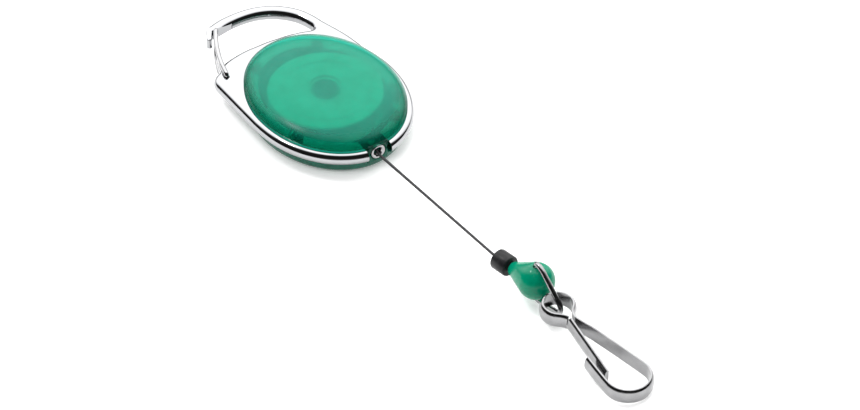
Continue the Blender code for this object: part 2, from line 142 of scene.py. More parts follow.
# Camera and backdrop. Distances are in metres and angles in degrees.
LENS = 780.0
CAMERA_TURN = -33.8
CAMERA_RISE = 41.0
CAMERA_AWAY = 4.235
AIM_HEIGHT = 0.0096
AIM_ACROSS = 0.02375
AIM_DOWN = 0.02761
BAND_AXIS = (0.42, 0.627, 0.656)
BANDS = ((0.12, 1.0), (0.20, 0.15), (0.30, 0.01), (0.72, 0.03), (0.84, 2.5))
DIP_AXIS = (0.556, 0.831, -1.2)

# How many times finer than the CAD the curves are cut.
FINE = 2

PARTS = bpy.data.collections.new("looks")
TOOLS = bpy.data.collections.new("tools")


def new_object(name, data, group):
    """A visible piece's name ends in _look, and a tool keeps its plain name."""
    thing = bpy.data.objects.new(name if group is TOOLS else f"{name}_look", data)
    group.objects.link(thing)
    return thing


def close_mesh(mesh):
    """Weld a mesh and turn its faces outward."""
    work = bmesh.new()
    work.from_mesh(mesh)
    bmesh.ops.remove_doubles(work, verts=work.verts, dist=0.001 * MM)
    bmesh.ops.recalc_face_normals(work, faces=work.faces)
    work.to_mesh(mesh)
    work.free()


def to_mesh(source):
    """Replace an object with the welded mesh that its curve and modifiers give."""
    depsgraph = bpy.context.evaluated_depsgraph_get()
    mesh = bpy.data.meshes.new_from_object(source.evaluated_get(depsgraph))
    close_mesh(mesh)
    if "crease" in source:
        mesh.shade_smooth()
        mesh.set_sharp_from_angle(angle=math.radians(source["crease"]))
    name = source.name
    group = source.users_collection[0]
    where = source.matrix_world.copy()
    bpy.data.objects.remove(source, do_unlink=True)
    made = bpy.data.objects.new(name, mesh)
    group.objects.link(made)
    made.matrix_world = where
    return made


def box(name, low, high, group):
    low = Vector(low) * MM
    high = Vector(high) * MM
    work = bmesh.new()
    bmesh.ops.create_cube(work, size=1.0)
    bmesh.ops.scale(work, vec=high - low, verts=work.verts)
    bmesh.ops.translate(work, vec=(low + high) / 2, verts=work.verts)
    mesh = bpy.data.meshes.new(name)
    work.to_mesh(mesh)
    work.free()
    return new_object(name, mesh, group)


def rod(name, start, end, radius, group, sides=32):
    start = Vector(start) * MM
    end = Vector(end) * MM
    work = bmesh.new()
    bmesh.ops.create_cone(
        work, cap_ends=True, segments=sides * FINE, radius1=radius * MM, radius2=radius * MM,
        depth=(end - start).length,
    )
    turn = (end - start).to_track_quat("Z", "Y").to_matrix().to_4x4()
    bmesh.ops.transform(work, matrix=Matrix.Translation((start + end) / 2) @ turn, verts=work.verts)
    mesh = bpy.data.meshes.new(name)
    work.to_mesh(mesh)
    work.free()
    return new_object(name, mesh, group)


def lathe(name, profile, group, steps=64, ring=False):
    """Turn a profile of (radius, height) points about Z. A ring's profile closes on itself."""
    count = len(profile)
    edges = [(i, (i + 1) % count) for i in range(count if ring else count - 1)]
    mesh = bpy.data.meshes.new(name)
    mesh.from_pydata([(r * MM, 0, z * MM) for r, z in profile], edges, [])
    thing = new_object(name, mesh, group)
    screw = thing.modifiers.new("turn", "SCREW")
    screw.steps = steps * FINE
    screw.render_steps = steps * FINE
    screw.use_merge_vertices = True
    screw.merge_threshold = 0.01 * MM
    return to_mesh(thing)


def curve_object(name, points, group, dimensions="3D", closed=False):
    curve = bpy.data.curves.new(name, "CURVE")
    curve.dimensions = dimensions
    spline = curve.splines.new("POLY")
    spline.points.add(len(points) - 1)
    for slot, point in zip(spline.points, points):
        x, y, z = Vector(point).to_3d() * MM
        slot.co = (x, y, z, 1.0)
    spline.use_cyclic_u = closed
    return new_object(name, curve, group)


def tube(name, points, radius, group, resolution=2):
    """A round wire with closed ends along a line of points."""
    wire = curve_object(name, points, group)
    wire.data.bevel_depth = radius * MM
    wire.data.bevel_resolution = resolution * FINE + 2
    wire.data.use_fill_caps = True
    return to_mesh(wire)


def slab(name, outline, half, edge, group, resolution=3):
    """A flat outline made solid, with its rim rounded outward by edge."""
    plate = curve_object(name, outline, group, "2D", True)
    plate.data.fill_mode = "BOTH"
    plate.data.extrude = (half - edge) * MM
    plate.data.bevel_depth = edge * MM
    plate.data.bevel_resolution = resolution * FINE + 2
    return to_mesh(plate)


def arc(centre, radius, start, end, steps):
    """Points on a circle, angles in degrees."""
    steps *= FINE
    angles = [math.radians(start + (end - start) * i / steps) for i in range(steps + 1)]
    return [(centre[0] + radius * math.cos(a), centre[1] + radius * math.sin(a)) for a in angles]


def smooth(points, steps):
    """A Catmull-Rom line through the points."""
    steps *= FINE
    points = [Vector(p) for p in points]
    padded = [points[0] * 2 - points[1], *points, points[-1] * 2 - points[-2]]
    line = []
    for a, b, c, d in zip(padded, padded[1:], padded[2:], padded[3:]):
        for i in range(steps):
            t = i / steps
            line.append(
                0.5 * (2 * b + (c - a) * t + (2 * a - 5 * b + 4 * c - d) * t**2
                       + (3 * b - a - 3 * c + d) * t**3)
            )
    return [*line, points[-1]]


def offset(line, distance):
    """Move a flat line to its left."""
    moved = []
    for i, point in enumerate(line):
        along = (line[min(i + 1, len(line) - 1)] - line[max(i - 1, 0)]).normalized()
        moved.append((point.x - along.y * distance, point.y + along.x * distance))
    return moved


def rounded(points, radius, steps=4):
    """Round the inner corners of a line."""
    steps *= FINE
    points = [Vector(p) for p in points]
    line = [points[0]]
    for before, corner, after in zip(points, points[1:], points[2:]):
        back = (before - corner).normalized()
        ahead = (after - corner).normalized()
        half = back.angle(ahead) / 2
        middle = corner + (back + ahead).normalized() * radius / math.sin(half)
        start = corner + back * radius / math.tan(half) - middle
        end = corner + ahead * radius / math.tan(half) - middle
        for i in range(steps + 1):
            spoke = start.lerp(end, i / steps).normalized() * radius
            line.append(middle + spoke)
    return [*line, points[-1]]


def resample(line, spacing):
    """Even steps along a line, no longer than the spacing."""
    line = [Vector(p) for p in line]
    lengths = [(b - a).length for a, b in zip(line, line[1:])]
    count = math.ceil(sum(lengths) / spacing)
    step = sum(lengths) / count
    points = [line[0]]
    run = 0.0
    for a, b, length in zip(line, line[1:], lengths):
        while len(points) < count and step * len(points) <= run + length:
            points.append(a.lerp(b, (step * len(points) - run) / length))
        run += length
    return [*points, line[-1]]


def combine(target, tool, operation="DIFFERENCE"):
    tool.hide_render = True
    tool.display_type = "WIRE"
    step = target.modifiers.new(tool.name, "BOOLEAN")
    step.operation = operation
    step.solver = "EXACT"
    step.object = tool


def dress(thing, look, crease=35.0):
    """Give a piece its material, and the angle above which an edge stays sharp."""
    thing.data.materials.clear()
    thing.data.materials.append(look)
    thing["crease"] = crease


def squash_to_case(thing):
    thing.data.transform(Matrix.Diagonal((CASE_X / CASE_Y, 1, 1, 1)))


def frame_at(origin, along):
    """A matrix that puts local Z on a direction."""
    turn = Vector(along).to_track_quat("Z", "Y").to_matrix().to_4x4()
    return Matrix.Translation(Vector(origin) * MM) @ turn


def dome_profile(reach, base, rise, steps=14):
    """A flattened dome from its top to its rim."""
    steps *= FINE
    points = []
    for i in range(steps):
        r = reach * math.sin(math.pi / 2 * i / steps)
        points.append((r, base + rise * math.sqrt(1 - (r / reach) ** 4)))
    return points


def make_top_shell(parts, tools):
    # The dome's last points would run past the rim's first, so they are left out.
    dome = dome_profile(CASE_Y, DOME_BASE, DOME_RISE, 12)
    outside = [(r, z) for r, z in dome if z > DOME_FOOT]
    inside = dome_profile(CASE_Y - WALL, DOME_RIM, DOME_CEILING - DOME_RIM, 7)
    rim = [(CASE_Y - 0.02, DOME_RIM + 0.3), (CASE_Y - 0.15, DOME_RIM), (CASE_Y - WALL, DOME_RIM)]
    shell = lathe("top_shell", [*outside, *rim, *reversed(inside)], parts, 64)
    squash_to_case(shell)
    core_profile = dome_profile(CASE_Y - 0.6, DOME_RIM, DOME_CEILING - DOME_RIM + 0.5)
    core = lathe("rib_limit", [*core_profile, (CASE_Y - 0.6, DOME_RIM), (0, DOME_RIM)], tools, 64)
    squash_to_case(core)
    for number, angle in enumerate(RIB_ANGLES):
        rib = box(f"rib_{number}", (-0.5, 14.2, 6.6), (0.5, 22.0, 9.5), tools)
        rib.data.transform(Matrix.Rotation(math.radians(180 + angle), 4, "Z"))
        combine(rib, core, "INTERSECT")
        combine(shell, rib, "UNION")
    for number, (x, y) in enumerate(POSTS):
        seat = rod(f"seat_{number}", (x, y, 6.6), (x, y, 7.8), 1.0, tools)
        peg = rod(f"peg_{number}", (x, y, 4.0), (x, y, 7.2), 0.42, tools, 20)
        combine(shell, seat, "UNION")
        combine(shell, peg, "UNION")
    ring = lathe("head_ring", [(2.8, 8.35), (3.6, 8.35), (3.6, 9.4), (2.8, 9.4)], tools, 48, True)
    combine(shell, ring, "UNION")
    make_spout(shell, "upper", 4.85, 6.95, tools)
    return shell


def make_bottom_shell(parts, tools):
    flat = CASE_Y - PAN_INSET
    outside = [(0, 0), (flat, 0)]
    outside += [(flat + PAN_CURVE * math.sin(a), PAN_CURVE - PAN_CURVE * math.cos(a))
                for a in (0.4, 0.8, 1.2, math.pi / 2)]
    outside += [(CASE_Y, PAN_TOP - 0.15), (CASE_Y - 0.15, PAN_TOP)]
    wall = CASE_Y - WALL
    inside = [(wall, PAN_TOP), (wall - 0.1, 1.7), (wall - 0.6, PAN_FLOOR)]
    boss = [(3.2, PAN_FLOOR), (3.2, 1.4), (1.9, 1.4), (1.9, PAN_FLOOR), (0, PAN_FLOOR)]
    shell = lathe("bottom_shell", [*outside, *inside, *boss], parts, 64)
    squash_to_case(shell)
    for number, (x, y) in enumerate(POSTS):
        post = rod(f"post_{number}", (x, y, 0.8), (x, y, 6.3), 1.0, tools)
        bore = rod(f"post_bore_{number}", (x, y, 2.0), (x, y, 7.0), 0.55, tools, 20)
        combine(shell, post, "UNION")
        combine(shell, bore)
    make_spout(shell, "lower", 2.0, 4.55, tools)
    return shell


def make_spout(shell, side, low, high, tools):
    """One half of the spout, joined to its shell and cut to hold the eyelet."""
    half_width = 2.7
    front = -21.65
    block = box(f"{side}_spout", (-half_width, front, low), (half_width, -18.4, high), tools)
    bevel = block.modifiers.new("corners", "BEVEL")
    bevel.width = 0.35 * MM
    bevel.segments = 3
    channel = rod(f"{side}_channel", (0, -17.0, PLATE_MID), (0, -24.0, PLATE_MID), 1.6, tools)
    mouth = rod(f"{side}_mouth", (0, -20.8, PLATE_MID), (0, -24.0, PLATE_MID), 2.1, tools)
    combine(shell, block, "UNION")
    combine(shell, channel)
    combine(shell, mouth)


def plate_outline():
    """The flat part of the plate's top, counterclockwise. The rounded edge lies outside it."""
    def on_case(start, end, steps):
        return [(CASE_X * x, CASE_Y * y) for x, y in arc((0, 0), 1.0, start, end, steps)]

    arm = smooth(ARM_LINE, 4)
    right_side = smooth(((16.04, 8.05), (15.75, 9.6), (15.3, 13.1), (14.6, 16.7), (12.95, 22.4)), 3)
    outer = offset(arm, -0.15)
    inner = offset(arm, 0.15)
    tip_angle = math.degrees(math.atan2(*reversed(arm[-1] - arm[-2])))
    tip = arc(arm[-1], 0.15, tip_angle - 90, tip_angle + 90, 6)
    corner = arc((10.3, 22.3), 2.3, 0, -108, 7)
    lip = smooth(
        ((9.59, 20.11), (6.0, 21.3), (0, 22.2), (-3.1, 22.3), (-6.5, 22.35), (-10.3, 21.8),
         (-12.9, 20.9), (-15.05, 19.16)), 3,
    )
    shoulder = arc((-14.6, 16.6), 2.6, 110, 180, 6)
    left_side = [(-17.25, 12.0), (-17.35, 6.0), (-17.4, 1.0), (-17.3, -1.2)]
    return [
        *on_case(270, 382, 28)[:-1], *right_side, *outer[:-1], *tip, *reversed(inner[:-1]),
        *corner[:-1], *lip[:-1], *shoulder, *left_side, *on_case(189, 270, 22)[:-1],
    ]


def make_plate(parts, tools):
    plate = slab("carabiner_frame", plate_outline(), EDGE, EDGE, parts, 2)
    plate.location.z = PLATE_MID * MM
    hole = lathe("plate_hole", [(0, 1), (18.0, 1), (18.0, 8), (0, 8)], tools, 96)
    hole.data.transform(Matrix.Diagonal((14.0 / 18.0, 1, 1, 1)))
    combine(plate, hole)
    for number, (x, y) in enumerate(POSTS):
        across = math.atan2(y, x)
        notch = rod(f"notch_{number}", (x, y, 1), (x, y, 8), 1.3, tools)
        slot = box(f"notch_way_{number}", (-3.5, -1.3, 1), (0, 1.3, 8), tools)
        slot.data.transform(
            Matrix.Translation((x * MM, y * MM, 0)) @ Matrix.Rotation(across, 4, "Z")
        )
        combine(slot, notch, "UNION")
        combine(plate, slot)
    combine(plate, box("spout_gap", (-3.1, -25, 1), (3.1, -14, 8), tools))
    combine(plate, box("gate_rest", (-9.35, 30.0, 1), (-3.6, 33.3, 8), tools))
    x, y, _ = GATE_HINGE
    combine(plate, rod("foot_hole_top", (x, y, 5.0), (x, y, 8), 0.7, tools))
    combine(plate, rod("foot_hole_bottom", (x, y, 1), (x, y, 4.4), 0.7, tools))
    lean = math.degrees(math.atan2(LIP_LOW[1] - LIP_HIGH[1], LIP_LOW[0] - LIP_HIGH[0]))
    outline = [
        *arc(LIP_LOW, LIP_EDGE, lean - 90, lean + 90, 8),
        *arc(LIP_HIGH, LIP_EDGE, lean + 90, lean + 270, 8),
    ]
    lip = slab("nose_lip", outline, 1.4, 0.3, tools, 2)
    lip.location.z = PLATE_MID * MM
    combine(plate, lip, "UNION")
    return plate


def make_gate(parts):
    hinge = GATE_HINGE
    end = Vector((*GATE_END, hinge.z))
    along = (end - hinge).normalized()
    left = Vector((-along.y, along.x, 0))
    legs = []
    for fraction in (0.0, 0.2, 0.4, 0.6, 0.8, 1.0):
        bow = GATE_BOW * 4 * fraction * (1 - fraction)
        legs.append((end - hinge) * fraction + left * bow)
    front = [leg + Vector((0, 0, FRONT_LEG - hinge.z)) for leg in legs]
    back = [leg + Vector((0, 0, BACK_LEG - hinge.z)) for leg in reversed(legs)]
    path = [(0, 0, 0.5), *front, *back, (0, 0, -0.5)]
    wire = tube("gate_wire", rounded(path, 0.75), GATE_WIRE, parts)
    wire.location = hinge * MM
    return wire


def make_drive(parts, tools, looks):
    """Spindle, washers, drum, cover, spring and the cord that is wound up."""
    spindle = lathe(
        "spindle",
        [(0, 8.85), (2.3, 8.85), (2.55, 8.7), (2.55, 8.3), (SHAFT, 8.3), (SHAFT, 1.4), (0, 1.4)],
        parts, 40,
    )
    combine(spindle, box("spring_slot", (-2.5, -0.25, 2.8), (2.5, 0.25, 6.4), tools))
    dress(spindle, looks["rivet"])
    for name, low in (("lower_washer", 1.5), ("upper_washer", 7.85)):
        washer = lathe(
            name, [(BORE, low), (3.2, low), (3.2, low + 0.3), (BORE, low + 0.3)], parts, 32, True,
        )
        dress(washer, looks["steel"])
    drum = lathe(
        "drum",
        [(BORE, 1.95), (FLANGE - 0.2, 1.95), (FLANGE, 2.15), (FLANGE, 2.5), (FLANGE - 0.2, 2.7),
         (HUB, 2.7), (HUB, 6.7), (HUB_INSIDE, 6.7), (HUB_INSIDE, 2.7), (BORE, 2.7)],
        parts, 48, True,
    )
    combine(drum, rod("cord_hole", (-7.0, 0, 4.8), (-9.6, 0, 4.8), 0.45, tools, 20))
    dress(drum, looks["drum"])
    cover = lathe(
        "drum_cover",
        [(BORE, 6.9), (7.0, 6.9), (7.0, 6.3), (7.65, 6.3), (7.65, 6.9), (FLANGE - 0.2, 6.9),
         (FLANGE, 7.1), (FLANGE, 7.5), (FLANGE - 0.2, 7.7), (10.6, 7.7), (10.4, 7.95), (9.9, 7.95),
         (9.7, 7.7), (BORE, 7.7)],
        parts, 48, True,
    )
    dress(cover, looks["drum"])
    coil = [(8.95, 6.6), (8.95, 3.0)]
    outermost = 10.06
    lowest = 3.36
    pitch = 0.72
    for turn in range(5):
        middle = lowest + pitch * turn
        coil += [(outermost + CORD * math.cos(a), middle + CORD * math.sin(a))
                 for a in (-1.1, -0.4, 0.4, 1.1)]
    wound = lathe("wound_cord", coil, parts, 40, True)
    dress(wound, looks["cord"], 80)
    knot = lathe(
        "cord_knot",
        [(0, -0.5), (0.34, -0.42), (0.52, -0.15), (0.52, 0.15), (0.3, 0.42), (0.3, 1.6), (0, 1.6)],
        parts, 20,
    )
    knot.matrix_world = frame_at((-7.15, 0, 4.8), (-1, 0, 0))
    dress(knot, looks["cord"], 80)
    dress(make_spring(parts), looks["steel"])


def make_spring(parts):
    """A flat strip from the spindle's slot, wound outward in even turns."""
    turns = 8.25
    steps_a_turn = 15
    path = [(-0.9, 0), (1.65, 0), (2.0, 0.14), (2.16, 0.42)]
    steps = int(turns * steps_a_turn) * FINE
    for i in range(1, steps + 1):
        angle = math.radians(11 + 360 / steps_a_turn * i / FINE)
        r = 2.2 + 4.05 * i / steps
        path.append((r * math.cos(angle), r * math.sin(angle)))
    spring = curve_object("power_spring", path, parts, "2D")
    spring.data.fill_mode = "NONE"
    spring.data.extrude = 1.6 * MM
    spring.location.z = 4.6 * MM
    spring = to_mesh(spring)
    thicken = spring.modifiers.new("strip", "SOLIDIFY")
    thicken.thickness = 0.16 * MM
    thicken.offset = 0
    return spring


def make_eyelet(parts):
    eyelet = lathe(
        "exit_eyelet",
        [(1.3, 0), (1.45, 0), (1.45, 2.45), (1.8, 2.45), (1.9, 2.6), (1.9, 2.95), (1.75, 3.15),
         (1.5, 3.2), (1.15, 3.0), (0.85, 2.5), (0.8, 2.1), (0.8, 1.0), (1.0, 0.4)],
        parts, 32, True,
    )
    eyelet.matrix_world = frame_at((0, EYELET_BACK, PLATE_MID), (0, -1, 0))
    return eyelet


def make_cord(parts):
    neck = BULB + BULB_AXIS * NECK_AT
    inner_end = BULB - BULB_AXIS
    case_part = smooth([Vector(p) for p in CORD_PATH[:5]], 4)
    path = [*case_part, *[Vector(p) for p in CORD_PATH[5:]], neck, inner_end]
    line = resample(path, 0.5)
    return tube("cord", line, CORD, parts), line


def make_collar(parts):
    half = 2.1
    collar = lathe(
        "stop_collar",
        [(0.7, -half), (2.15, -half), (2.4, -half + 0.1), (2.5, -half + 0.35), (2.5, half - 0.35),
         (2.4, half - 0.1), (2.15, half), (0.7, half)],
        parts, 48, True,
    )
    yaw = math.radians(COLLAR_YAW)
    collar.matrix_world = frame_at(COLLAR, (math.sin(yaw), -math.cos(yaw), COLLAR_RISE))
    return collar


def make_bulb(parts, tools):
    """Pear-shaped swivel with a bore for the cord and a chamber for the ferrule."""
    reach = math.hypot(NECK_R, NECK_AT)
    touch = math.atan2(NECK_R, NECK_AT) - math.acos(BULB_R / reach)
    sphere = [(BULB_R * math.sin(touch * (1 - i / 14)), BULB_R * math.cos(touch * (1 - i / 14)))
              for i in range(14)]
    inside = [(0, 0.4), (1.6, 0.4), (1.6, -2.4), (0.6, -2.4), (0.6, NECK_AT)]
    neck = [(NECK_R - 0.2, NECK_AT), (NECK_R, NECK_AT + 0.2)]
    bulb = lathe("swivel_bulb", [*inside, *neck, *sphere, (0, BULB_R)], parts, 40)
    bulb.matrix_world = frame_at(BULB, BULB_AXIS)
    for side, name in ((1, "pivot_top"), (-1, "pivot_bottom")):
        start = BULB + Vector((0, 0, side * (BULB_R - 1.5)))
        end = BULB + Vector((0, 0, side * (BULB_R + 1.5)))
        combine(bulb, rod(name, start, end, 0.8, tools))
    return bulb


def make_ferrule(parts):
    ferrule = lathe(
        "end_ferrule",
        [(0, 1.6), (0.45, 1.6), (0.45, 0), (0.95, 0), (1.1, 0.15), (1.1, 2.05), (0.95, 2.2),
         (0, 2.2)],
        parts, 28,
    )
    ferrule.matrix_world = frame_at(BULB - BULB_AXIS * 2.2, BULB_AXIS)
    return ferrule


def make_bail(parts):
    """A round wire that runs over the bulb, out to a narrow bend and back under the bulb."""
    def leg(side, end_height):
        end = Vector((BAIL_END, end_height))
        leave = math.atan2(end.y, end.x) + side * math.acos(BAIL_OVER / end.length)
        leave = math.degrees(leave)
        over = arc((0, 0), BAIL_OVER, side * 78, leave, 4) if abs(leave) < 78 else []
        return [(0, side * 3.25), (0, side * 4.7), (0.16, side * 5.07), *over, tuple(end)]

    top = leg(1, -0.1)
    bottom = leg(-1, -3.1)
    bend = [(9.62, -0.75), (9.8, -1.6), (9.62, -2.45)]
    line = [(0, -u, w) for u, w in [*top, *bend, *reversed(bottom)]]
    bail = tube("bail", line, BAIL_R, parts, 3)
    bail.location = BULB * MM
    return bail


def hook_matrix():
    yaw = math.radians(HOOK_YAW)
    pitch = math.radians(HOOK_PITCH)
    along = Vector(
        (math.sin(yaw) * math.cos(pitch), -math.cos(yaw) * math.cos(pitch), -math.sin(pitch))
    )
    across = Vector((math.cos(yaw), math.sin(yaw), 0))
    axes = Matrix((along, across, along.cross(across))).transposed().to_4x4()
    return Matrix.Translation(EYE * MM) @ axes


def strip(name, path, inner_side, parts, tools):
    """Half-oval metal strip on edge, its flat face inside and its round face outside."""
    section = [(STRIP_FLAT, -STRIP_HALF), (STRIP_EDGE, -STRIP_HALF)]
    for height in (-0.85, -0.6, -0.3, 0.0, 0.3, 0.6, 0.85):
        bulge = STRIP_BULGE * math.sqrt(1 - height**2)
        section.append((STRIP_EDGE - bulge, STRIP_HALF * height))
    section += [(STRIP_EDGE, STRIP_HALF), (STRIP_FLAT, STRIP_HALF)]
    section = [(inner_side * x, y) for x, y in section]
    profile = curve_object(f"{name}_section", section, tools, "2D", True)
    profile.hide_render = True
    ribbon = curve_object(name, path, parts)
    ribbon.data.twist_mode = "Z_UP"
    ribbon.data.bevel_mode = "OBJECT"
    ribbon.data.bevel_object = profile
    ribbon.data.use_fill_caps = True
    made = to_mesh(ribbon)
    bpy.data.objects.remove(profile, do_unlink=True)
    made.matrix_world = hook_matrix()
    return made


def make_hook(parts, tools):
    eye = arc((0, 0), EYE_R, -42, -318, 30)
    far = arc(LOOP, LOOP_R, 100.5, -95, 22)
    path = [
        (5.0, -1.15), (4.35, -1.5), (3.7, -2.1), *eye, (3.75, 2.1), (4.45, 1.55), (5.2, 1.32),
        (6.1, 1.35), (7.1, 1.6), (8.4, 2.0), (10.1, 2.5), (17.7, 4.1), *far, (25.0, -6.01),
        (21.4, -5.67), (17.5, -5.25),
    ]
    hook = strip("hook_strip", path, 1, parts, tools)
    tongue = strip("hook_tongue", [TONGUE_ROOT, TONGUE_TIP], -1, parts, tools)
    root = Vector((*TONGUE_ROOT, 0)) * MM
    tongue.data.transform(Matrix.Translation(-root))
    tongue.matrix_world = hook_matrix() @ Matrix.Translation(root)
    return hook, tongue


def graph(name, roughness, metallic=0.0):
    """A new node material: its node maker, its linker and its Principled shader."""
    made = bpy.data.materials.new(name)
    made.use_nodes = True
    tree = made.node_tree
    shader = tree.nodes["Principled BSDF"]
    shader.inputs["Roughness"].default_value = roughness
    shader.inputs["Metallic"].default_value = metallic

    def node(kind, **values):
        new = tree.nodes.new(kind)
        for key, value in values.items():
            if key in new.inputs:
                new.inputs[key].default_value = value
            else:
                setattr(new, key, value)
        return new

    return made, node, tree.links.new, shader


def mixed_noise(node, link, scale, detail=3.0):
    """Noise in the piece's own space, scale in features per metre."""
    where = node("ShaderNodeTexCoord")
    noise = node("ShaderNodeTexNoise", Scale=scale, Detail=detail)
    link(where.outputs["Object"], noise.inputs["Vector"])
    return noise


def ramp(node, link, value, low, high):
    """Map a 0-1 value to a colour or grey between low and high."""
    colours = node("ShaderNodeValToRGB")
    for stop, colour in zip(colours.color_ramp.elements, (low, high)):
        stop.color = (*colour, 1.0)
    colours.color_ramp.elements[0].position = 0.3
    colours.color_ramp.elements[1].position = 0.7
    link(value, colours.inputs["Fac"])
    return colours.outputs["Color"]


def bump(node, link, shader, height, strength, distance):
    made = node("ShaderNodeBump", Strength=strength, Distance=distance)
    link(height, made.inputs["Height"])
    link(made.outputs["Normal"], shader.inputs["Normal"])


def metal(name, low, high, smoothest, roughest, scale, relief=0.0):
    """Plated or bare metal with faint changes of tone, polish and level."""
    made, node, link, shader = graph(name, 0.1, 1.0)
    cloud = mixed_noise(node, link, scale)
    link(ramp(node, link, cloud.outputs["Fac"], low, high), shader.inputs["Base Color"])
    fine = mixed_noise(node, link, scale * 9)
    grey = node("ShaderNodeMapRange")
    grey.inputs["To Min"].default_value = smoothest
    grey.inputs["To Max"].default_value = roughest
    link(fine.outputs["Fac"], grey.inputs["Value"])
    link(grey.outputs["Result"], shader.inputs["Roughness"])
    if relief:
        bump(node, link, shader, cloud.outputs["Fac"], 0.2, relief * MM)
    return made


def plastic(name, low, high, roughness, scale, relief, shine=0.5):
    """Moulded plastic with faint flow marks."""
    made, node, link, shader = graph(name, roughness)
    shader.inputs["Specular IOR Level"].default_value = shine
    cloud = mixed_noise(node, link, scale)
    link(ramp(node, link, cloud.outputs["Fac"], low, high), shader.inputs["Base Color"])
    fine = mixed_noise(node, link, scale * 12)
    bump(node, link, shader, fine.outputs["Fac"], 0.25, relief * MM)
    return made


def translucent(name, tint, low, high, body, edge, roughness, rim=None):
    """Frosted plastic: what lies behind shows through, tinted.

    body and edge say how much of the plastic itself shows, face on and at a grazing angle.
    rim gives two heights in mm: painted shade, the colour is darkest at the first and plain at the
    second.
    """
    made, node, link, shader = graph(name, roughness)
    shader.inputs["Specular IOR Level"].default_value = 0.3
    cloud = mixed_noise(node, link, 260)
    colour = ramp(node, link, cloud.outputs["Fac"], low, high)
    # Painted shade: the base colour is darkened towards the rim, below the second height.
    if rim:
        where = node("ShaderNodeTexCoord")
        split = node("ShaderNodeSeparateXYZ")
        link(where.outputs["Object"], split.inputs["Vector"])
        depth = node("ShaderNodeMapRange")
        depth.interpolation_type = "SMOOTHSTEP"
        depth.inputs["From Min"].default_value = rim[0] * MM
        depth.inputs["From Max"].default_value = rim[1] * MM
        depth.inputs["To Min"].default_value = 0.2
        link(split.outputs["Z"], depth.inputs["Value"])
        paint_rim_shade = node("ShaderNodeVectorMath", operation="SCALE")
        link(colour, paint_rim_shade.inputs["Vector"])
        link(depth.outputs["Result"], paint_rim_shade.inputs["Scale"])
        colour = paint_rim_shade.outputs["Vector"]
    link(colour, shader.inputs["Base Color"])
    fine = mixed_noise(node, link, 2600, 2.0)
    bump(node, link, shader, fine.outputs["Fac"], 0.2, 0.02 * MM)
    through = node("ShaderNodeBsdfTransparent")
    through.inputs["Color"].default_value = (*tint, 1.0)
    facing = node("ShaderNodeLayerWeight", Blend=0.35)
    share = node("ShaderNodeMapRange")
    share.inputs["To Min"].default_value = body
    share.inputs["To Max"].default_value = edge
    link(facing.outputs["Facing"], share.inputs["Value"])
    mix = node("ShaderNodeMixShader")
    link(share.outputs["Result"], mix.inputs["Fac"])
    link(through.outputs["BSDF"], mix.inputs[1])
    link(shader.outputs["BSDF"], mix.inputs[2])
    link(mix.outputs["Shader"], made.node_tree.nodes["Material Output"].inputs["Surface"])
    return made


def braid(name):
    """Black braided cord: crossing strands raised from the surface."""
    made, node, link, shader = graph(name, 0.6)
    where = node("ShaderNodeTexCoord")
    heights = []
    for turn in (0.7, -0.7):
        lean = node("ShaderNodeMapping")
        lean.inputs["Rotation"].default_value = (turn, 0.0, turn)
        link(where.outputs["Object"], lean.inputs["Vector"])
        wave = node("ShaderNodeTexWave", Scale=620.0, Distortion=0.4)
        link(lean.outputs["Vector"], wave.inputs["Vector"])
        heights.append(wave.outputs["Fac"])
    both = node("ShaderNodeMath", operation="MAXIMUM")
    link(heights[0], both.inputs[0])
    link(heights[1], both.inputs[1])
    link(ramp(node, link, both.outputs["Value"], (0.004, 0.004, 0.004), (0.03, 0.03, 0.032)),
         shader.inputs["Base Color"])
    bump(node, link, shader, both.outputs["Value"], 0.6, 0.06 * MM)
    return made


def make_looks():
    return {
        "shell": translucent(
            "green_shell", (0.03, 0.72, 0.53), (0.0, 0.27, 0.182), (0.0, 0.31, 0.21),
            # rim: painted shade darkens the green towards the case's edge.
            body=0.45, edge=0.92, roughness=0.25, rim=(7.2, 9.5),
        ),
        "pan": translucent(
            "green_pan", (0.05, 0.45, 0.30), (0.0, 0.09, 0.055), (0.0, 0.12, 0.075),
            body=0.8, edge=0.97, roughness=0.2,
        ),
        "bulb": translucent(
            "green_bulb", (0.0, 0.42, 0.26), (0.0, 0.22, 0.12), (0.0, 0.28, 0.155),
            body=0.72, edge=0.95, roughness=0.14,
        ),
        "inner": translucent(
            "green_inside", (0.85, 1.0, 0.95), (0.0, 0.4, 0.22), (0.0, 0.4, 0.22),
            body=0.04, edge=0.1, roughness=0.5,
        ),
        "chrome": metal(
            "plate_chrome", (0.36, 0.365, 0.375), (0.40, 0.405, 0.415), 0.03, 0.08, 90, 0.005,
        ),
        "hook": metal(
            "hook_chrome", (0.25, 0.25, 0.255), (0.31, 0.31, 0.315), 0.14, 0.24, 400, 0.01,
        ),
        "wire": metal(
            "wire_chrome", (0.32, 0.32, 0.325), (0.38, 0.38, 0.385), 0.06, 0.12, 300, 0.005,
        ),
        "rivet": metal(
            "rivet_head", (0.12, 0.05, 0.04), (0.17, 0.075, 0.06), 0.3, 0.5, 300, 0.01,
        ),
        "steel": metal(
            "plain_steel", (0.22, 0.20, 0.18), (0.32, 0.29, 0.26), 0.3, 0.5, 300, 0.01,
        ),
        "drum": plastic("drum_plastic", (0.72, 0.76, 0.73), (0.82, 0.85, 0.82), 0.45, 200, 0.01),
        "cord": braid("braided_cord"),
        "black": plastic(
            "black_plastic", (0.006, 0.006, 0.007), (0.02, 0.02, 0.021), 0.35, 500, 0.02, 0.2,
        ),
        "brass": metal("ferrule_brass", (0.6, 0.45, 0.2), (0.7, 0.55, 0.28), 0.2, 0.35, 500),
    }


def split_skin(thing, inner, origin):
    """Give the faces that look into a hollow piece its inner material."""
    thing.data.materials.append(inner)
    centre = Vector(origin) * MM
    for face in thing.data.polygons:
        if face.normal.dot(face.center - centre) < 0:
            face.material_index = 1


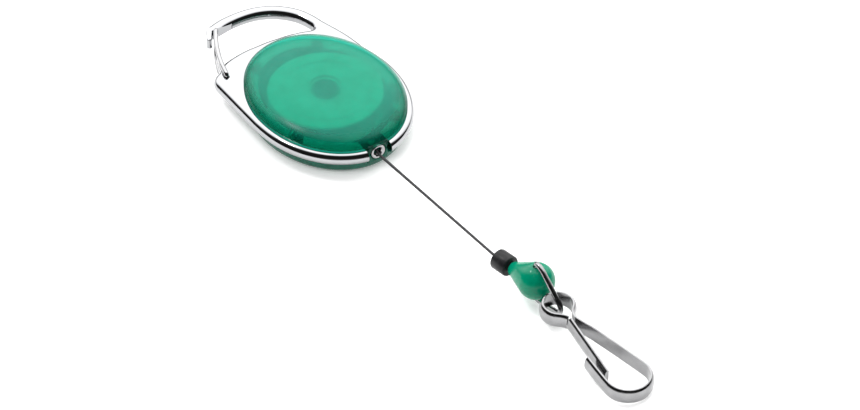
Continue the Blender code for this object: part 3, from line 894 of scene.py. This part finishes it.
def light(name, place, target, size, power, mirrored):
    data = bpy.data.lights.new(name, "AREA")
    data.size = size
    data.energy = power
    lamp = bpy.data.objects.new(name, data)
    lamp.location = place
    lamp.rotation_euler = (Vector(target) - Vector(place)).to_track_quat("-Z", "Y").to_euler()
    lamp.visible_glossy = mirrored
    bpy.context.scene.collection.objects.link(lamp)


def make_world():
    """A plain studio in bands of light and dark, which the metal mirrors."""
    scene = bpy.context.scene
    scene.view_settings.view_transform = "Standard"
    world = bpy.data.worlds.new("studio")
    scene.world = world
    world.use_nodes = True
    tree = world.node_tree
    where = tree.nodes.new("ShaderNodeTexCoord")
    facing = tree.nodes.new("ShaderNodeVectorMath")
    facing.operation = "DOT_PRODUCT"
    facing.inputs[1].default_value = BAND_AXIS
    tree.links.new(where.outputs["Generated"], facing.inputs[0])
    shades = tree.nodes.new("ShaderNodeValToRGB")
    stops = shades.color_ramp.elements
    stops[0].position = 0.0
    stops[0].color = (1.2, 1.2, 1.22, 1)
    stops[1].position = 1.0
    stops[1].color = (2.8, 2.8, 2.8, 1)
    for place, grey in BANDS:
        stop = stops.new(place)
        stop.color = (grey, grey, grey, 1)
    spread = tree.nodes.new("ShaderNodeMapRange")
    spread.inputs["From Min"].default_value = -1.0
    tree.links.new(facing.outputs["Value"], spread.inputs["Value"])
    tree.links.new(spread.outputs["Result"], shades.inputs["Fac"])
    tree.links.new(shades.outputs["Color"], tree.nodes["Background"].inputs["Color"])

    # The backdrop is dimmer near the horizon behind the part.
    low = tree.nodes.new("ShaderNodeVectorMath")
    low.operation = "DOT_PRODUCT"
    low.inputs[1].default_value = DIP_AXIS
    tree.links.new(where.outputs["Generated"], low.inputs[0])
    dip = tree.nodes.new("ShaderNodeMapRange")
    for key, value in (("From Min", 0.45), ("From Max", 0.75), ("To Min", 1.0), ("To Max", 0.07)):
        dip.inputs[key].default_value = value
    tree.links.new(low.outputs["Value"], dip.inputs["Value"])
    tree.links.new(dip.outputs["Result"], tree.nodes["Background"].inputs["Strength"])


def make_floor():
    bpy.ops.mesh.primitive_plane_add(size=20.0, location=(0, 0, -0.0004))
    floor = bpy.context.object
    floor.name = "floor"
    made, node, link, shader = graph("pale_floor", 0.8)
    cloud = mixed_noise(node, link, 3)
    link(ramp(node, link, cloud.outputs["Fac"], (0.9, 0.9, 0.9), (0.92, 0.92, 0.92)),
         shader.inputs["Base Color"])
    shader.inputs["Emission Color"].default_value = (1, 1, 1, 1)
    shader.inputs["Emission Strength"].default_value = 0.25
    floor.data.materials.append(made)


def make_studio():
    make_world()
    light("key", (-0.5, -0.3, 0.9), (0, -0.03, 0), 0.5, 5.0, False)
    light("fill", (0.5, -0.7, 0.7), (0, -0.04, 0), 0.6, 2.5, False)
    light("strip", (-0.25, 0.35, 0.8), (0, 0.0, 0), 0.12, 1.2, True)
    make_floor()


def make_camera():
    """A long lens, far off, from the case's left and above."""
    turn = math.radians(CAMERA_TURN)
    rise = math.radians(CAMERA_RISE)
    back = Vector(
        (math.sin(turn) * math.cos(rise), -math.cos(turn) * math.cos(rise), math.sin(rise))
    )
    across = Vector((math.cos(turn), math.sin(turn), 0.0))
    up = back.cross(across)
    data = bpy.data.cameras.new("camera")
    data.lens = LENS
    data.sensor_width = 36.0
    data.clip_end = 50.0
    camera = bpy.data.objects.new("camera", data)
    middle = Vector((0, 0, AIM_HEIGHT)) + across * AIM_ACROSS - up * AIM_DOWN
    camera.location = middle + back * CAMERA_AWAY
    camera.rotation_euler = back.to_track_quat("Z", "Y").to_euler()
    bpy.context.scene.collection.objects.link(camera)
    bpy.context.scene.camera = camera


def main():
    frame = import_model()
    record = frame["record"]
    bodies = {node: body for body, held in record["behaviour"]["bodies"].items() for node in held}
    for group in (PARTS, TOOLS):
        bpy.context.scene.collection.children.link(group)
    make_camera()
    make_studio()
    looks = make_looks()
    dress(make_top_shell(PARTS, TOOLS), looks["shell"])
    dress(make_bottom_shell(PARTS, TOOLS), looks["pan"])
    dress(make_plate(PARTS, TOOLS), looks["chrome"])
    dress(make_gate(PARTS), looks["wire"], 80)
    make_drive(PARTS, TOOLS, looks)
    dress(make_eyelet(PARTS), looks["wire"], 50)
    cord, line = make_cord(PARTS)
    dress(cord, looks["cord"], 80)
    dress(make_collar(PARTS), looks["black"])
    dress(make_bulb(PARTS, TOOLS), looks["bulb"])
    dress(make_ferrule(PARTS), looks["brass"])
    dress(make_bail(PARTS), looks["hook"], 80)
    for piece in make_hook(PARTS, TOOLS):
        dress(piece, looks["hook"], 40)
    pieces = {piece.name: to_mesh(piece) for piece in list(PARTS.objects)}
    for tool in list(TOOLS.objects):
        bpy.data.objects.remove(tool, do_unlink=True)
    for name in ("top_shell_look", "bottom_shell_look"):
        split_skin(pieces[name], looks["inner"], (0, 0, PLATE_MID))
    for name in ("carabiner_frame_look", "top_shell_look", "bottom_shell_look"):
        even = pieces[name].modifiers.new("even_shading", "WEIGHTED_NORMAL")
        even.keep_sharp = True
    for name, piece in pieces.items():
        node = name.removesuffix("_look")
        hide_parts(node)
        if node != "cord":
            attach(piece, bodies[node])
    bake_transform(pieces["cord_look"])


main()
